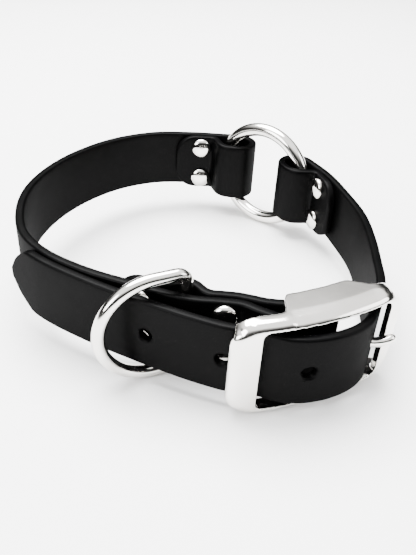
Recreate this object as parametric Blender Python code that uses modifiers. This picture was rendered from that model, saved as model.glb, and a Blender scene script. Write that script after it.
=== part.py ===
"""Pet collar: two coated straps, an O-ring, a D-ring, a centre-bar buckle and eight rivets.

The collar is drawn in its own level frame, with x to the right, y to the back and z up from the middle of
the straps' width. It is then tipped a little, because the O-ring, the D-ring and the buckle reach below
the straps by different amounts and all three touch the ground.
"""

import math

import bmesh
import bpy
import numpy as np
from mathutils import Matrix, Vector

mm = 0.001

# Straps
strap_width = 25.4 * mm
strap_thickness = 3.2 * mm
strap_edge = 0.6 * mm
layer_gap = 0.4 * mm
loop_half_width = 64.4 * mm
loop_back = 69.7 * mm
loop_front = 59.0 * mm
flap_end_radius = 9.0 * mm
ring_flap_past_rivets = 12.5 * mm
bar_flap_past_rivets = 11.0 * mm
end_trim = 0.4 * mm

# Holes in the tail
hole_radius = 2.2 * mm
hole_pitch = 25.4 * mm
hole_count = 4
tip_from_bar = 111.0 * mm
tip_length = 11.0 * mm
tip_shoulder = 5.0 * mm
tip_point = 0.8 * mm

# O-ring, placed by shares of the loop's half width and of its depth to the back
ring_radius = 20.9 * mm
ring_wire_radius = 2.8 * mm
ring_play = 0.8 * mm
ring_across = 0.4534
ring_back = 0.7532
ring_turn = math.radians(-36)
ring_lift = 1.5 * mm

# D-ring
dee_wire_radius = 2.15 * mm
dee_half_height = 18.0 * mm
dee_reach = 28.5 * mm
dee_corner_radius = 3.2 * mm
dee_play = 0.4 * mm
dee_flat = 1.0 * mm
dee_from_bar = 46.5 * mm
dee_turn = math.radians(206)

# Buckle, placed by shares of the loop's half width and of its depth to the front
buckle_across = 0.6475
buckle_front = 1.0932
buckle_turn = math.radians(25)
buckle_length = 57.0 * mm
buckle_height = 35.4 * mm
buckle_corner_radius = 9.0 * mm
window_height = 30.0 * mm
window_corner_radius = 2.5 * mm
tip_bar_width = 8.6 * mm
far_bar_width = 6.2 * mm
bar_thickness = 2.6 * mm
bar_front = 1.0 * mm
buckle_bow = 4.2 * mm
hood_half_length = 10.5 * mm
hood_slope = 4.5 * mm
hood_depth = 13.6 * mm
rail_depth = 5.2 * mm
hood_thickness = 2.6 * mm
hood_setback = 0.5 * mm
hood_inset = 0.3 * mm
hood_past_corner = 3.0 * mm
centre_bar_radius = 2.7 * mm
centre_bar_along = 2.5 * mm
centre_bar_inward = 6.2 * mm
centre_bar_play = 0.45 * mm
window_bulge = 7.4 * mm
tail_clearance = 0.8 * mm
tail_leaving = 4.2 * mm

# Prong
prong_radius = 1.5 * mm
prong_loop_wall = 1.7 * mm
prong_loop_height = 5.0 * mm
prong_play = 0.4 * mm
prong_slot_play = 0.8 * mm

# Rivets
rivet_head_radius = 4.4 * mm
rivet_head_height = 2.1 * mm
rivet_back_radius = 3.5 * mm
rivet_back_height = 1.3 * mm
rivet_rim = 0.5 * mm
rivet_post_radius = 1.5 * mm
rivet_half_spacing = 7.4 * mm
rivet_play = 0.4 * mm
rivet_head_room = 1.2 * mm
rivet_back_room = 0.7 * mm
ring_rivet_from_fold = 17.0 * mm
rivet_from_bar = 33.0 * mm
rivet_behind_dee = 13.5 * mm

# Steps of the curves, and how far cutters reach past what they cut
path_spacing = 1.2 * mm
path_tolerance = 0.06 * mm
heading_step = 1.0 * mm
prong_spacing = 1.6 * mm
frame_spacing = 3.0 * mm
fold_steps = 10
cutter_past = 6.0 * mm
cutter_side = 3.0 * mm
outline_side = 1.0 * mm

# Paths in plan are arrays of points, one row each; a positive offset lies to the left of the way they run.


def point(x, y):
    return np.array([x, y], float)


def heading(angle):
    return point(math.cos(angle), math.sin(angle))


def left_of(direction):
    return point(-direction[1], direction[0])


def lengths(path):
    steps = np.linalg.norm(np.diff(path, axis=0), axis=1)
    return np.concatenate([[0.0], np.cumsum(steps)])


def at_length(path, length):
    """The place and the direction of a path at a length along it."""
    along = lengths(path)
    place = point(*[np.interp(length, along, path[:, axis]) for axis in (0, 1)])
    near = [np.interp(np.clip(length + step, 0, along[-1]), along, path[:, axis])
            for step in (-heading_step, heading_step) for axis in (0, 1)]
    direction = point(near[2] - near[0], near[3] - near[1])
    return place, direction / np.linalg.norm(direction)


def respaced(path, spacing):
    along = lengths(path)
    count = max(2, round(along[-1] / spacing) + 1)
    wanted = np.linspace(0, along[-1], count)
    return np.column_stack([np.interp(wanted, along, path[:, axis]) for axis in (0, 1)])


def smooth(points, spacing):
    """A smooth curve through the points, with a point about every spacing."""
    points = np.array(points)
    along = lengths(points)
    slopes = np.gradient(points, along, axis=0)
    fine = []
    for start in range(len(points) - 1):
        run = along[start + 1] - along[start]
        for share in np.linspace(0, 1, 16, endpoint=False):
            square = share * share
            cube = square * share
            fine.append((2 * cube - 3 * square + 1) * points[start]
                        + (cube - 2 * square + share) * run * slopes[start]
                        + (3 * square - 2 * cube) * points[start + 1]
                        + (cube - square) * run * slopes[start + 1])
    fine.append(points[-1])
    return respaced(np.array(fine), spacing)


def fade(share):
    """From 1 at a share of 0 to 0 at a share of 1, level at both ends."""
    share = min(max(share, 0.0), 1.0)
    return 1 - share * share * (3 - 2 * share)


def thinned(path, tolerance):
    """The path without points that lie within the tolerance of a straight line between those kept."""
    kept = [0]
    for end in range(2, len(path)):
        chord = path[end] - path[kept[-1]]
        across = left_of(chord / np.linalg.norm(chord))
        strays = (path[kept[-1]:end] - path[kept[-1]]) @ across
        if np.abs(strays).max() > tolerance:
            kept.append(end - 1)
    return path[kept + [len(path) - 1]]


def eased(start, end, before, after):
    """Stations along a stretch of a flap where its extra width changes from one value to another."""
    return [(start + share * (end - start), after + (before - after) * fade(share))
            for share in (0.25, 0.5, 0.75, 1.0)]


def folded_flap(main, side, fold_radius, flap_length, stations):
    """The fold at the end of a main path and the flap that comes back along it.

    Each station is a distance back from the fold and the extra width by which the layers part there.
    """
    total = lengths(main)[-1]
    place, direction = at_length(main, total)
    middle = place + side * fold_radius * left_of(direction)
    arc = []
    for step in range(1, fold_steps):
        angle = math.pi * step / fold_steps
        arc.append(middle - side * fold_radius * math.cos(angle) * left_of(direction)
                   + fold_radius * math.sin(angle) * direction)
    flap = [place + side * 2 * fold_radius * left_of(direction)]
    for back, extra in stations + eased(stations[-1][0], flap_length, 0.0, 0.0):
        place, direction = at_length(main, total - back)
        width = strap_thickness + layer_gap + extra
        flap.append(place + side * width * left_of(direction))
    return np.array(arc), smooth(flap, path_spacing)


# Buckle's own frame in plan: along runs to the far end bar, out runs away from the neck
buckle_middle = point(buckle_across * loop_half_width, -buckle_front * loop_front)
buckle_along = heading(buckle_turn)
buckle_out = -left_of(buckle_along)
tip_bar_edge = -buckle_length / 2 + tip_bar_width
far_bar_edge = buckle_length / 2 - far_bar_width


def by_buckle(along, out):
    return buckle_middle + along * buckle_along + out * buckle_out


def frame_front(along):
    """How far out the bowed front of the frame lies."""
    return bar_front + buckle_bow * (1 - (2 * along / buckle_length) ** 2)


# O-ring and the pockets that its two folds leave for it
ring_middle = point(ring_across * loop_half_width, ring_back * loop_back)
ring_line = heading(ring_turn)
ring_near = math.sqrt(ring_radius**2 - (strap_width / 2 + ring_lift) ** 2)


def ring_fold(side, strap_heading):
    """The start of a main path at the O-ring: its place outside the pocket, and the fold's radius."""
    direction = heading(strap_heading)
    across = left_of(direction)
    far_wire = ring_middle + side * ring_radius * ring_line
    near_wire = ring_middle + side * ring_near * ring_line
    spread = abs(np.dot(far_wire - near_wire, across)) / 2
    radius = spread + ring_wire_radius + ring_play + strap_thickness / 2
    middle = (np.dot(far_wire + near_wire, across) / 2) * across + np.dot(near_wire, direction) * direction
    return middle, direction, radius


# Buckle strap, from the O-ring round the back, the left side and the front to the centre bar
centre_bar = by_buckle(centre_bar_along, -centre_bar_inward)
bar_fold_radius = centre_bar_radius + centre_bar_play + strap_thickness / 2
left_middle, left_heading, left_radius = ring_fold(-1, math.radians(-3))
left_start = left_middle + left_radius * left_of(left_heading)

# Centreline of the loop as shares of its half width and of its depth to the back or to the front
back_and_left = (
    # across, back
    (-0.080, 1.000),
    (-0.320, 0.968),
    (-0.570, 0.845),
    (-0.785, 0.631),
    (-0.935, 0.365),
    (-1.000, 0.072),
    (-0.975, -0.160),
)
left_and_front = (
    # across, front
    (-0.880, 0.458),
    (-0.722, 0.640),
    (-0.520, 0.772),
    (-0.217, 0.896),
    (0.060, 0.985),
    (0.195, 0.990),
    (0.280, 1.000),
    (0.360, 1.045),
    (0.440, 1.085),
)
main_points = [left_start]
for across, back in back_and_left:
    main_points.append(point(across * loop_half_width, back * loop_back))
for across, front in left_and_front:
    main_points.append(point(across * loop_half_width, -front * loop_front))
for before in (2.0, 0.6, 0.0):
    main_points.append(centre_bar + bar_fold_radius * (buckle_out - before * buckle_along))
buckle_main = smooth(main_points, path_spacing)
buckle_main_length = lengths(buckle_main)[-1]

# How a flap closes between its fold and the first rivets, as shares of that stretch and of the fold's opening
ring_closing = ((0.36, 0.96), (0.60, 0.80), (0.77, 0.46), (0.91, 0.09), (1.0, 0.0))
bar_closing = ((0.50, 0.95), (0.78, 0.27), (1.0, 0.0))
rivet_flat = rivet_head_radius + rivet_head_room


def closing(fold_radius, end, shares):
    opening = 2 * fold_radius - strap_thickness - layer_gap
    return [(along * end, share * opening) for along, share in shares]


def ring_stations(fold_radius):
    return closing(fold_radius, ring_rivet_from_fold - rivet_flat, ring_closing)


dee_width = 2 * dee_wire_radius + 2 * dee_play - layer_gap
behind_dee = dee_from_bar + rivet_behind_dee
ring_flap_length = ring_rivet_from_fold + ring_flap_past_rivets
bar_flap_length = behind_dee + bar_flap_past_rivets
behind_rivet = rivet_from_bar + rivet_back_radius + rivet_back_room
before_rivet = behind_dee - rivet_back_radius - rivet_back_room
bar_stations = closing(bar_fold_radius, rivet_from_bar - rivet_flat, bar_closing)
bar_stations += eased(rivet_from_bar - rivet_flat, behind_rivet, 0.0, 0.0)
bar_stations += eased(behind_rivet, dee_from_bar - dee_flat, 0.0, dee_width)
bar_stations += eased(dee_from_bar + dee_flat, before_rivet, dee_width, 0.0)
ring_arc, ring_flap = folded_flap(buckle_main[::-1], -1, left_radius, ring_flap_length, ring_stations(left_radius))
bar_arc, bar_flap = folded_flap(buckle_main, 1, bar_fold_radius, bar_flap_length, bar_stations)
buckle_path = np.concatenate([ring_flap[::-1], ring_arc[::-1], buckle_main, bar_arc, bar_flap])

# Tail strap, from the O-ring down the right side, through the buckle and along the front to its tip
right_middle, right_heading, right_radius = ring_fold(1, math.radians(-62))
right_start = right_middle + right_radius * left_of(right_heading)
right_side = (
    # across, back
    (0.850, 0.500),
    (0.935, 0.250),
    (0.995, 0.000),
    (1.003, -0.220),
    (0.992, -0.420),
    (0.968, -0.640),
)
# Inner face of the tail off the outer face of the buckle strap, by the distance from the centre bar
lap = (
    # from the bar, gap
    (38.0 * mm, 6.8 * mm),
    (59.0 * mm, 3.0 * mm),
    (79.0 * mm, 0.9 * mm),
    (95.0 * mm, 0.5 * mm),
    (tip_from_bar, 2.2 * mm),
)


def behind_frame(along, clear):
    """A place on the tail's centreline behind the frame, clear of it by this much."""
    return by_buckle(along, frame_front(along) - bar_thickness - clear - strap_thickness / 2)


tail_points = [right_start]
for across, back in right_side:
    tail_points.append(point(across * loop_half_width, back * loop_back))
tail_points.append(behind_frame(far_bar_edge - 0.3 * far_bar_width, tail_clearance))
tail_points.append(by_buckle(0.55 * far_bar_edge, 0.68 * window_bulge))
tail_points.append(by_buckle(0.0, window_bulge))
tail_points.append(by_buckle(0.62 * tip_bar_edge, 0.60 * window_bulge))
tail_points.append(behind_frame(tip_bar_edge, tail_clearance))
tail_points.append(behind_frame(-0.5 * buckle_length, tail_leaving))
for from_bar, gap in lap:
    place, direction = at_length(buckle_main, buckle_main_length - from_bar)
    tail_points.append(place - (strap_thickness + gap) * left_of(direction))
tail_main = smooth(tail_points, path_spacing)
tail_length = lengths(tail_main)[-1]
right_arc, right_flap = folded_flap(tail_main[::-1], 1, right_radius, ring_flap_length,
                                    ring_stations(right_radius))
tail_path = np.concatenate([right_flap[::-1], right_arc[::-1], tail_main])

# D-ring bar, held against the inner face of the buckle strap
dee_place, dee_direction = at_length(buckle_main, buckle_main_length - dee_from_bar)
dee_bar = dee_place + (strap_thickness / 2 + dee_play + dee_wire_radius) * left_of(dee_direction)


# Scene
for old in list(bpy.data.objects):
    bpy.data.objects.remove(old)

collar = bpy.data.collections.new("pet_collar")
cutters = bpy.data.collections.new("cutters")
cutters.hide_render = True
for group in (collar, cutters):
    bpy.context.scene.collection.children.link(group)

half_width = strap_width / 2


def material(name, colour, roughness, metallic):
    made = bpy.data.materials.new(name)
    made.use_nodes = True
    shader = made.node_tree.nodes["Principled BSDF"]
    shader.inputs["Base Color"].default_value = (*colour, 1)
    shader.inputs["Roughness"].default_value = roughness
    shader.inputs["Metallic"].default_value = metallic
    return made


black_coating = material("black_coating", (0.008, 0.008, 0.008), 0.45, 0.0)
bright_nickel = material("bright_nickel", (0.80, 0.78, 0.74), 0.14, 1.0)


def add(name, data, group=collar, surface=None):
    made = bpy.data.objects.new(name, data)
    group.objects.link(made)
    if surface:
        data.materials.append(surface)
    if group is cutters:
        made.hide_render = True
        made.display_type = "WIRE"
    return made


def mesh_from(curve_object):
    """The curve's solid as a mesh with its caps welded, in the curve's place."""
    bpy.context.view_layer.update()
    graph = bpy.context.evaluated_depsgraph_get()
    mesh = bpy.data.meshes.new_from_object(curve_object.evaluated_get(graph))
    mesh.transform(curve_object.matrix_world)
    bpy.data.objects.remove(curve_object)
    solid = bmesh.new()
    solid.from_mesh(mesh)
    bmesh.ops.remove_doubles(solid, verts=solid.verts, dist=0.00001)
    bmesh.ops.recalc_face_normals(solid, faces=solid.faces)
    solid.to_mesh(mesh)
    solid.free()
    return mesh


def smooth_shading(mesh, angle=35):
    mesh.shade_smooth()
    mesh.set_sharp_from_angle(angle=math.radians(angle))


def cut(target, cutter):
    made = target.modifiers.new(cutter.name, "BOOLEAN")
    made.operation = "DIFFERENCE"
    made.object = cutter


def join(target, other):
    made = target.modifiers.new(other.name, "BOOLEAN")
    made.operation = "UNION"
    made.object = other


def poly_spline(curve, places, closed=False):
    line = curve.splines.new("POLY")
    line.points.add(len(places) - 1)
    for vertex, place in zip(line.points, places):
        vertex.co = (*place, 1)
    line.use_cyclic_u = closed
    return line


def flat_shape(name, outline, thickness, group=cutters):
    """A prism on an outline in the object's own x and y, centred on its plane."""
    curve = bpy.data.curves.new(name, "CURVE")
    curve.dimensions = "2D"
    curve.fill_mode = "BOTH"
    curve.extrude = thickness / 2
    poly_spline(curve, [(x, y, 0) for x, y in outline], closed=True)
    return add(name, curve, group)


def upright(place, direction, height=0.0):
    """Own x along a direction in plan, own y upwards, own z out of the right-hand side."""
    along = Vector((*direction, 0))
    up = Vector((0, 0, 1))
    side = along.cross(up)
    turned = Matrix((along, up, side)).transposed().to_4x4()
    return Matrix.Translation((*place, height)) @ turned


def cylinder(name, radius, length, matrix, group=cutters, sides=20):
    made = bmesh.new()
    bmesh.ops.create_cone(made, cap_ends=True, segments=sides, radius1=radius, radius2=radius, depth=length)
    mesh = bpy.data.meshes.new(name)
    made.to_mesh(mesh)
    made.free()
    mesh.transform(matrix)
    return add(name, mesh, group)


# Straps, a section with bevelled edges swept along each path
def strap(name, path):
    section = bpy.data.curves.new(name + "_section", "CURVE")
    section.dimensions = "2D"
    half = strap_thickness / 2
    flat = strap_edge
    corners = []
    for x, y in ((half, half_width), (-half, half_width), (-half, -half_width), (half, -half_width)):
        side_x = math.copysign(flat, x)
        side_y = math.copysign(flat, y)
        bevelled = [(x, y - side_y), (x - side_x, y)]
        corners += bevelled if x * y > 0 else bevelled[::-1]
    poly_spline(section, [(x, y, 0) for x, y in corners], closed=True)
    section_object = add(name + "_section", section, cutters)
    curve = bpy.data.curves.new(name + "_line", "CURVE")
    curve.dimensions = "3D"
    curve.twist_mode = "Z_UP"
    curve.bevel_mode = "OBJECT"
    curve.bevel_object = section_object
    curve.use_fill_caps = True
    poly_spline(curve, [(x, y, 0) for x, y in path])
    mesh = mesh_from(add(name + "_line", curve, cutters))
    bpy.data.objects.remove(section_object)
    smooth_shading(mesh)
    return add(name, mesh, surface=black_coating)


def end_cutter(name, path, corner_points, layer_side=0):
    """Takes off what lies past an end's outline, given from the upper edge to the lower one.

    The layer side is 1 or -1 where another layer lies close on the left or the right of the path.
    """
    past = cutter_past
    edge = half_width + cutter_side
    start = corner_points[0][0]
    outline = [(start, edge)] + corner_points + [(start, -edge), (past, -edge), (past, edge)]
    free = strap_thickness
    close = layer_gap / 2 if layer_side else free
    inner_end = at_length(path, lengths(path)[-1] + start)[0]
    chord = path[-1] - inner_end
    made = flat_shape(name, outline, strap_thickness + free + close)
    shift = Matrix.Translation((0, 0, layer_side * (free - close) / 2))
    made.matrix_world = upright(path[-1], chord / np.linalg.norm(chord)) @ shift
    return add(name, mesh_from(made), cutters)


def round_end(radius):
    """An end with both corners rounded, trimmed a little at its outermost point."""
    points = [(-radius - end_trim, half_width + outline_side)]
    for step in range(9):
        angle = math.pi / 2 * (1 - step / 8)
        x = radius * math.cos(angle) - radius - end_trim
        points.append((x, half_width - radius + radius * math.sin(angle)))
    return points + [(x, -y) for x, y in points[::-1]]


buckle_strap = strap("buckle_strap", thinned(buckle_path, path_tolerance))
tail_strap = strap("tail_strap", thinned(tail_path, path_tolerance))
rounded = round_end(flap_end_radius)
cut(buckle_strap, end_cutter("left_flap_end", ring_flap, rounded, layer_side=-1))
cut(buckle_strap, end_cutter("front_flap_end", bar_flap, rounded, layer_side=1))
cut(tail_strap, end_cutter("right_flap_end", right_flap, rounded, layer_side=1))

tip_half = (
    (-tip_length, half_width + outline_side),
    (-tip_length, half_width),
    (-0.40 * tip_length, half_width - tip_shoulder),
    (-0.06 * tip_length, tip_point),
)
tip_outline = list(tip_half) + [(x, -y) for x, y in tip_half[::-1]]
cut(tail_strap, end_cutter("tail_tip", tail_main, tip_outline))

# Rivets, a dome, a post and a back plate turned about their own z; the layers lie around their origin
layers = 2 * strap_thickness + layer_gap


def rivet(name, place, outward, height):
    seat = layers / 2 + rivet_play
    profile = [(0.0, seat + rivet_head_height)]
    for step in range(1, 5):
        angle = math.pi / 2 * step / 4
        rise = rivet_rim + (rivet_head_height - rivet_rim) * math.cos(angle)
        profile.append((rivet_head_radius * math.sin(angle), seat + rise))
    profile += [
        (rivet_head_radius, seat),
        (rivet_post_radius, seat),
        (rivet_post_radius, -seat),
        (rivet_back_radius, -seat),
        (rivet_back_radius, -seat - 0.5 * rivet_back_height),
        (0.75 * rivet_back_radius, -seat - rivet_back_height),
        (0.0, -seat - rivet_back_height),
    ]
    mesh = bpy.data.meshes.new(name)
    edges = [(i, i + 1) for i in range(len(profile) - 1)]
    mesh.from_pydata([(x, 0, z) for x, z in profile], edges, [])
    made = add(name, mesh, surface=bright_nickel)
    turn = made.modifiers.new("turn", "SCREW")
    turn.steps = 12
    turn.render_steps = 12
    turn.use_merge_vertices = True
    turn.merge_threshold = 0.00001
    normal = Vector((*outward, 0))
    made.matrix_world = Matrix.Translation((*place, height)) @ normal.to_track_quat("Z", "Y").to_matrix().to_4x4()
    return made


def rivet_pair(name, strap_object, main, from_end, side, head_side):
    """Two rivets through a main path and the flap on one side of it."""
    place, direction = at_length(main, lengths(main)[-1] - from_end)
    middle = place + side * (strap_thickness + layer_gap) / 2 * left_of(direction)
    outward = head_side * left_of(direction)
    for end, height in (("top", rivet_half_spacing), ("bottom", -rivet_half_spacing)):
        made = rivet(f"{name}_{end}", middle, outward, height)
        hole = cylinder(f"{name}_{end}_hole", rivet_post_radius + rivet_play, 2 * layers, made.matrix_world)
        cut(strap_object, hole)


rivet_pair("rivet_left_ring", buckle_strap, buckle_main[::-1], ring_rivet_from_fold, -1, -1)
rivet_pair("rivet_right_ring", tail_strap, tail_main[::-1], ring_rivet_from_fold, 1, 1)
rivet_pair("rivet_by_buckle", buckle_strap, buckle_main, rivet_from_bar, 1, -1)
rivet_pair("rivet_behind_dee", buckle_strap, buckle_main, behind_dee, 1, -1)

# O-ring
bpy.ops.mesh.primitive_torus_add(major_segments=40, minor_segments=12,
                                 major_radius=ring_radius, minor_radius=ring_wire_radius)
o_ring = bpy.context.object
o_ring.name = "o_ring"
for owner in list(o_ring.users_collection):
    owner.objects.unlink(o_ring)
collar.objects.link(o_ring)
o_ring.data.materials.append(bright_nickel)
o_ring.data.shade_smooth()
o_ring.matrix_world = upright(ring_middle, ring_line, ring_lift)


# D-ring, drawn from the middle of its bar
def dee_line():
    corner = dee_corner_radius
    top = dee_half_height
    half = []
    for step in range(7):
        angle = math.pi - math.pi / 2 * step / 6
        half.append((corner + corner * math.cos(angle), top - corner + corner * math.sin(angle)))
    for step in range(13):
        angle = math.pi / 2 * (1 - step / 12)
        half.append((dee_reach - top + top * math.cos(angle), top * math.sin(angle)))
    return half + [(x, -y) for x, y in half[-2::-1]]


dee_curve = bpy.data.curves.new("d_ring_line", "CURVE")
dee_curve.dimensions = "3D"
dee_curve.bevel_depth = dee_wire_radius
dee_curve.bevel_resolution = 3
poly_spline(dee_curve, [(x, y, 0) for x, y in dee_line()], closed=True)
d_ring = add("d_ring", mesh_from(add("d_ring_line", dee_curve)), surface=bright_nickel)
smooth_shading(d_ring.data)
d_ring.matrix_world = upright(dee_bar, heading(dee_turn))


# Buckle
def rounded_rectangle(length, height, radius, spacing):
    """Points round a rectangle with round corners, close enough along its length to follow a bend."""
    half = length / 2 - radius
    level_count = max(2, round(2 * half / spacing))
    points = []
    for turn, (x, y) in enumerate(((half, height / 2 - radius), (-half, height / 2 - radius),
                                   (-half, radius - height / 2), (half, radius - height / 2))):
        for step in range(7):
            angle = math.pi / 2 * (turn + step / 6)
            points.append((x + radius * math.cos(angle), y + radius * math.sin(angle)))
        if turn in (0, 2):
            sign = 1 if turn == 0 else -1
            for step in range(1, level_count):
                points.append((sign * (half - 2 * half * step / level_count), sign * height / 2))
    return points


frame_curve = bpy.data.curves.new("frame_outline", "CURVE")
frame_curve.dimensions = "2D"
frame_curve.fill_mode = "BOTH"
frame_curve.extrude = bar_thickness / 2
window_length = buckle_length - tip_bar_width - far_bar_width
window_middle = (tip_bar_edge + far_bar_edge) / 2
outer_line = rounded_rectangle(buckle_length, buckle_height, buckle_corner_radius, frame_spacing)
window_line = rounded_rectangle(window_length, window_height, window_corner_radius, frame_spacing)
poly_spline(frame_curve, [(x, y, 0) for x, y in outer_line], closed=True)
poly_spline(frame_curve, [(x + window_middle, y, 0) for x, y in window_line], closed=True)
frame_mesh = mesh_from(add("frame_outline", frame_curve))
for vertex in frame_mesh.vertices:
    vertex.co.z += frame_front(vertex.co.x) - bar_thickness / 2
buckle_frame = add("buckle_frame", frame_mesh, surface=bright_nickel)
buckle_place = upright(buckle_middle, buckle_along)
buckle_frame.matrix_world = buckle_place


def hood_outline():
    """The hood and the rails beside it as seen from above, in along and out."""
    reach = buckle_length / 2 - buckle_corner_radius + hood_past_corner
    front = []
    rear = []
    for along in np.linspace(-reach, reach, 33):
        edge = frame_front(along) - hood_setback
        past = (abs(along - centre_bar_along) - hood_half_length) / hood_slope
        depth = rail_depth + (hood_depth - rail_depth) * fade(past)
        front.append((along, edge))
        rear.append((along, edge - depth))
    return front + rear[::-1]


# The upper half gets its hood and its half of the centre bar, and the lower half mirrors it
hood_mesh = mesh_from(flat_shape("hood", hood_outline(), hood_thickness))
hood_height = window_height / 2 + hood_inset + hood_thickness / 2
lying = Matrix.Rotation(math.radians(90), 4, "X")
hood_mesh.transform(buckle_place @ Matrix.Translation((0, hood_height, 0)) @ lying)
join(buckle_frame, add("hood", hood_mesh, cutters))
bar_length = window_height + hood_thickness
bar_matrix = Matrix.Translation((*centre_bar, 0))
join(buckle_frame, cylinder("centre_bar", centre_bar_radius, bar_length, bar_matrix, sides=24))
mirror = buckle_frame.modifiers.new("lower_half", "MIRROR")
mirror.use_axis = (False, True, False)
mirror.use_bisect_axis = (False, True, False)
mirror.merge_threshold = 0.00001
smooth_shading(frame_mesh)

# Prong, from its loop on the centre bar through the last hole and over the far end bar
prong_loop_radius = centre_bar_radius + prong_play + prong_loop_wall
rest_out = frame_front(far_bar_edge) + prong_radius + prong_play
prong_line = (
    # along, out
    (centre_bar_along + 0.85 * prong_loop_radius, -centre_bar_inward + 0.25 * prong_loop_radius),
    (0.50 * far_bar_edge, -0.25 * centre_bar_inward),
    (0.76 * far_bar_edge, 0.35 * rest_out),
    (far_bar_edge, rest_out),
    (far_bar_edge + 0.45 * far_bar_width, rest_out),
)
prong_path = smooth([by_buckle(along, out) for along, out in prong_line], prong_spacing)
prong_lengths = lengths(prong_path)
past_fold = prong_lengths[-1] / 3
to_tail = [min(np.linalg.norm(tail_main - place, axis=1)) if length > past_fold else 1.0
           for place, length in zip(prong_path, prong_lengths)]
prong_hole, prong_heading = at_length(prong_path, prong_lengths[np.argmin(to_tail)])
crossing = np.argmin(np.linalg.norm(tail_main - prong_hole, axis=1))

prong_curve = bpy.data.curves.new("prong_line", "CURVE")
prong_curve.dimensions = "3D"
prong_curve.bevel_depth = prong_radius
prong_curve.bevel_resolution = 3
prong_curve.use_fill_caps = True
poly_spline(prong_curve, [(x, y, 0) for x, y in prong_path])
prong = add("buckle_prong", mesh_from(add("prong_line", prong_curve)), surface=bright_nickel)
smooth_shading(prong.data)
loop_matrix = Matrix.Translation((*centre_bar, 0))
join(prong, cylinder("prong_loop", prong_loop_radius, prong_loop_height, loop_matrix, sides=28))
cut(prong, cylinder("prong_loop_hole", centre_bar_radius + prong_play, 2 * prong_loop_height, loop_matrix, sides=24))

# Slot for the prong in the fold round the centre bar
slot_reach = bar_fold_radius + strap_thickness
slot_back = 1.2 * prong_loop_radius
slot_outline = (
    (-slot_back, -slot_reach),
    (slot_reach, -slot_reach),
    (slot_reach, slot_reach),
    (-slot_back, slot_reach),
)
slot = flat_shape("prong_slot", slot_outline, prong_loop_height + 2 * prong_slot_play)
slot.matrix_world = Matrix.Translation((*centre_bar, 0)) @ Matrix.Rotation(buckle_turn, 4, "Z")
cut(buckle_strap, add("prong_slot", mesh_from(slot), cutters))

# Holes of the tail, one of them round the prong
crossing_length = lengths(tail_main)[crossing]
for number in range(hole_count):
    place, direction = at_length(tail_main, crossing_length + number * hole_pitch)
    outward = left_of(direction)
    if number == 0:
        place, outward = prong_hole, prong_heading
    turned = Vector((*outward, 0)).to_track_quat("Z", "Y").to_matrix().to_4x4()
    matrix = Matrix.Translation((*place, 0)) @ turned
    cut(tail_strap, cylinder(f"tail_hole_{number}", hole_radius, 4 * strap_thickness, matrix))

# The collar stands on the O-ring, the D-ring and the buckle, with its origin at the middle of its underside
bpy.context.view_layer.update()
parts = list(collar.objects)


def points_of(parts_read):
    graph = bpy.context.evaluated_depsgraph_get()
    found = []
    for part in parts_read:
        mesh = part.evaluated_get(graph).to_mesh()
        found.append(np.array([part.matrix_world @ vertex.co for vertex in mesh.vertices]))
    return found


standing = points_of([o_ring, d_ring, buckle_frame])
up = np.array([0.0, 0.0, 1.0])
for attempt in range(8):
    feet = [points[np.argmin(points @ up)] for points in standing]
    up = np.cross(feet[1] - feet[0], feet[2] - feet[0])
    up = up * np.sign(up[2]) / np.linalg.norm(up)
level_turn = Vector(up).rotation_difference(Vector((0, 0, 1))).to_matrix()
turned_points = np.concatenate(points_of(parts)) @ np.array(level_turn).T
low = turned_points.min(axis=0)
high = turned_points.max(axis=0)
offset = Vector(((low[0] + high[0]) / -2, (low[1] + high[1]) / -2, -low[2]))

collar_frame = add("collar_frame", None)
for member in parts + list(cutters.objects):
    own_place = member.matrix_world.copy()
    member.parent = collar_frame
    member.matrix_world = own_place
collar_frame.matrix_world = Matrix.Translation(offset) @ level_turn.to_4x4()
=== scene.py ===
"""Pet collar: two coated straps that an O-ring joins at the back and a prong buckle joins in front.

Every piece is made in the collar's own level frame, with x to the right, y to the back and z up from the
middle of the straps' width, and is then set down at the small tilt at which the collar stands.
"""

import math

import bpy
import numpy as np
from mathutils import Matrix, Vector


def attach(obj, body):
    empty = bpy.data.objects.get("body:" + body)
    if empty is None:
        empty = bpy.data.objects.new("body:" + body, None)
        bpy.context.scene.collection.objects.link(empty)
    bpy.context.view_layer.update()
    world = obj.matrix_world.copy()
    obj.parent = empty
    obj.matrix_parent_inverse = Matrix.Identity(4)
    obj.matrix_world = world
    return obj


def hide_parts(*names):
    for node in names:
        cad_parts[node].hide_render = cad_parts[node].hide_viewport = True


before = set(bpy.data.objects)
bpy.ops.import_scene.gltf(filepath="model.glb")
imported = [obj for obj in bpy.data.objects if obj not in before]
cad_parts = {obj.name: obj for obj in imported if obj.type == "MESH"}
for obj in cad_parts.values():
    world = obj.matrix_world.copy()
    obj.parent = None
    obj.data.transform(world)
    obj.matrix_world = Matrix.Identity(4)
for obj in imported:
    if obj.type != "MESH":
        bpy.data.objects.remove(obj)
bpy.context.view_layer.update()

# Where the collar stands
# The O-ring, the D-ring and the buckle are taller than the straps and reach below them by different
# amounts, so the collar rests on these three and its straps stay just off the ground.
mm = 0.001
stand_origin = Vector((-0.903 * mm, 2.071 * mm, 21.632 * mm))
stand_up = Vector((0.0333830, -0.0289673, 0.9990228))
lean = Vector((0, 0, 1)).rotation_difference(stand_up)
collar_place = Matrix.Translation(stand_origin) @ lean.to_matrix().to_4x4()

# Camera
# A short lens close in front of the buckle, looking down at the collar. Its place and its turns, in
# degrees, are given in the collar's own frame.
looks_down = 35.2
rolled = 3.4
view_spot = (0.007, -0.207, 0.1253)
view_turn = Matrix.Rotation(math.radians(90 - looks_down), 4, "X")
view_turn = view_turn @ Matrix.Rotation(math.radians(rolled), 4, "Z")
view_place = Matrix.Translation(view_spot) @ view_turn


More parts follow.
